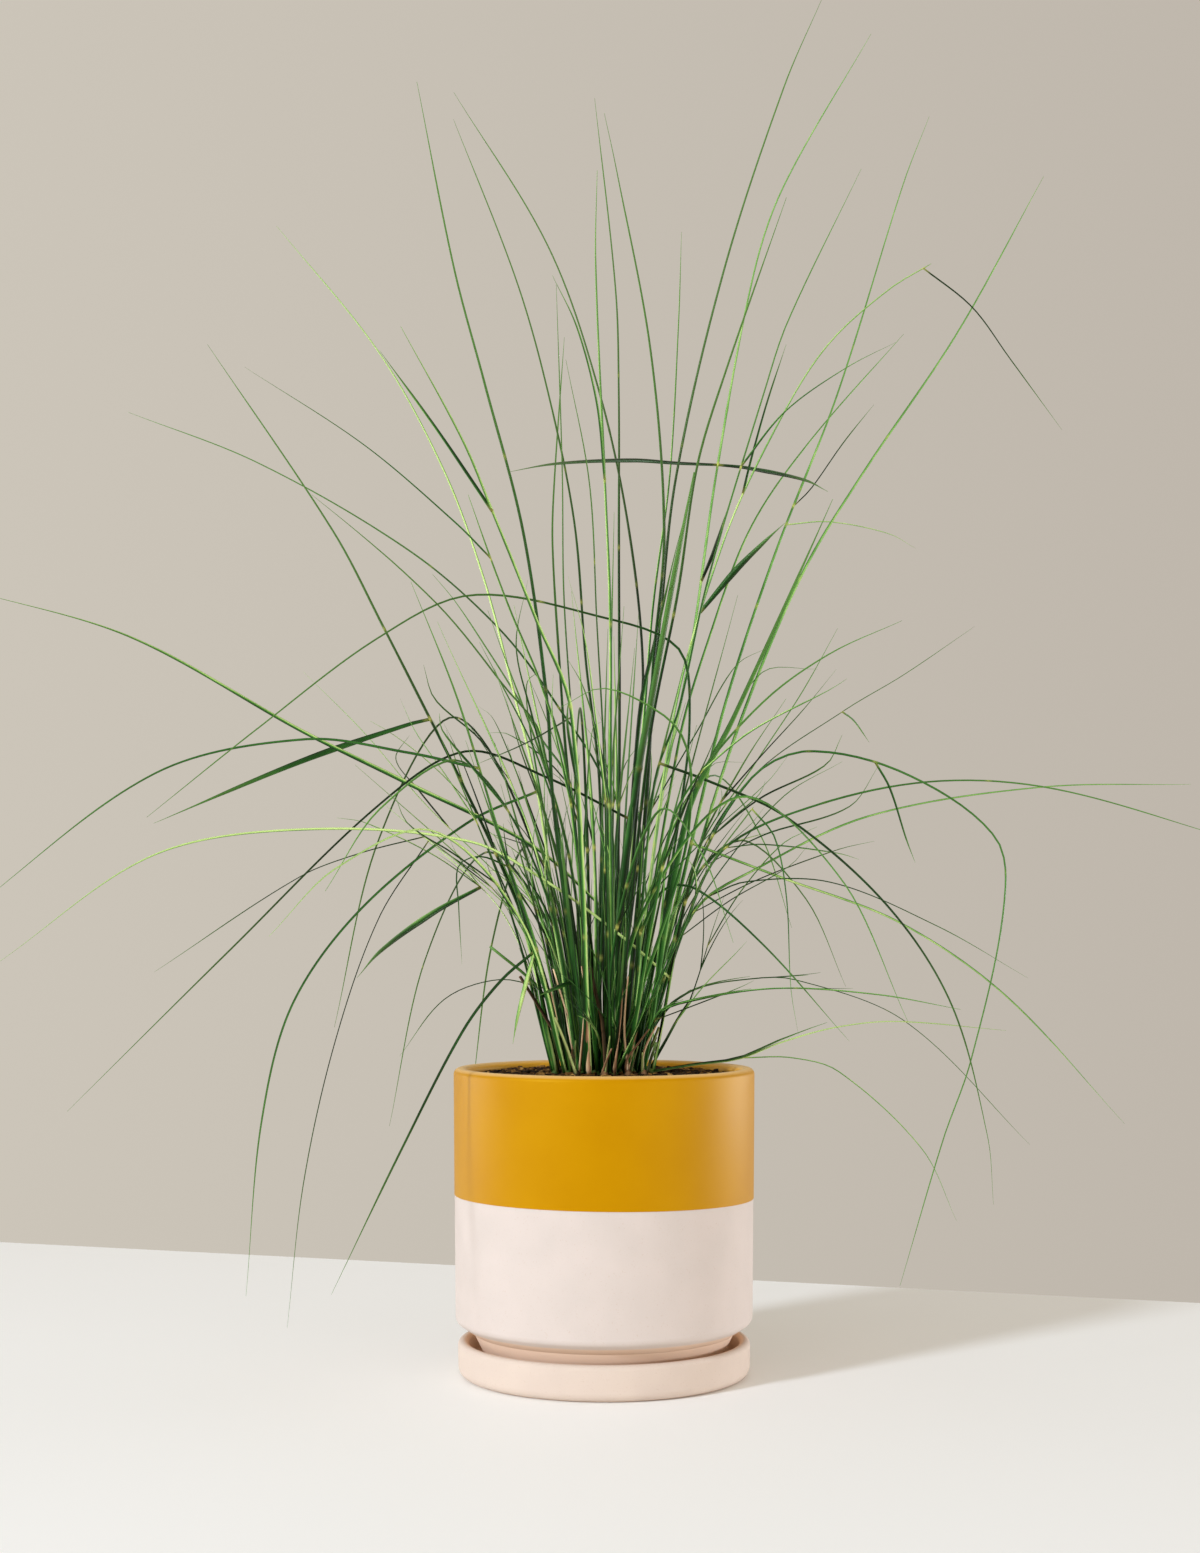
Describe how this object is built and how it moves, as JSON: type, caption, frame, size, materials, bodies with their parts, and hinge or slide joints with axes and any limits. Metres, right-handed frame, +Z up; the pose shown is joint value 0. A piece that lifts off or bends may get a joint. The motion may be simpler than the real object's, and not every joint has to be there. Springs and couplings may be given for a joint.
{
  "type": "potted ornamental grass",
  "caption": "Tall upright clump of fine arching grass in a straight two-tone stoneware pot with a matching saucer.",
  "frame": {"origin": "centre of the saucer's underside, on the surface that it stands on", "axes": "+Z up along the pot's axis; +X to the right of the picture's view; +Y away from that view, to the back"},
  "size_m": [0.8211, 0.573, 0.915],
  "materials": {
    "stoneware": "satin ochre glaze on the upper half, bare pale clay below",
    "bare_clay": "matt bare pale clay",
    "soil": "rough damp potting mix",
    "grass": "satin living leaf and stem",
    "dry_sheath": "matt dry papery sheath"
  },
  "bodies": {
    "root": {"saucer": "bare_clay", "pot": "stoneware", "soil": "soil", "dry_sheaths_1": "dry_sheath", "dry_sheaths_2": "dry_sheath", "dry_sheaths_3": "dry_sheath", "dry_sheaths_4": "dry_sheath", "dry_sheaths_5": "dry_sheath", "dry_sheaths_6": "dry_sheath", "dry_sheaths_7": "dry_sheath", "dry_sheaths_8": "dry_sheath", "grass_bunch_1": "grass", "grass_bunch_2": "grass", "grass_bunch_3": "grass", "grass_bunch_4": "grass", "grass_bunch_5": "grass", "grass_bunch_6": "grass", "grass_bunch_7": "grass", "grass_bunch_8": "grass", "grass_bunch_9": "grass", "grass_bunch_10": "grass", "grass_bunch_11": "grass", "grass_bunch_12": "grass", "grass_bunch_13": "grass", "grass_bunch_14": "grass", "grass_bunch_15": "grass", "grass_bunch_16": "grass", "grass_bunch_17": "grass", "grass_bunch_18": "grass", "grass_bunch_19": "grass", "grass_bunch_20": "grass", "grass_bunch_21": "grass", "grass_bunch_22": "grass", "grass_bunch_23": "grass", "grass_bunch_24": "grass", "grass_bunch_25": "grass", "grass_bunch_26": "grass", "grass_bunch_27": "grass", "grass_bunch_28": "grass", "grass_bunch_29": "grass", "grass_bunch_30": "grass", "grass_bunch_31": "grass", "grass_bunch_32": "grass", "grass_bunch_33": "grass", "grass_bunch_34": "grass"}
  },
  "joints": []
}
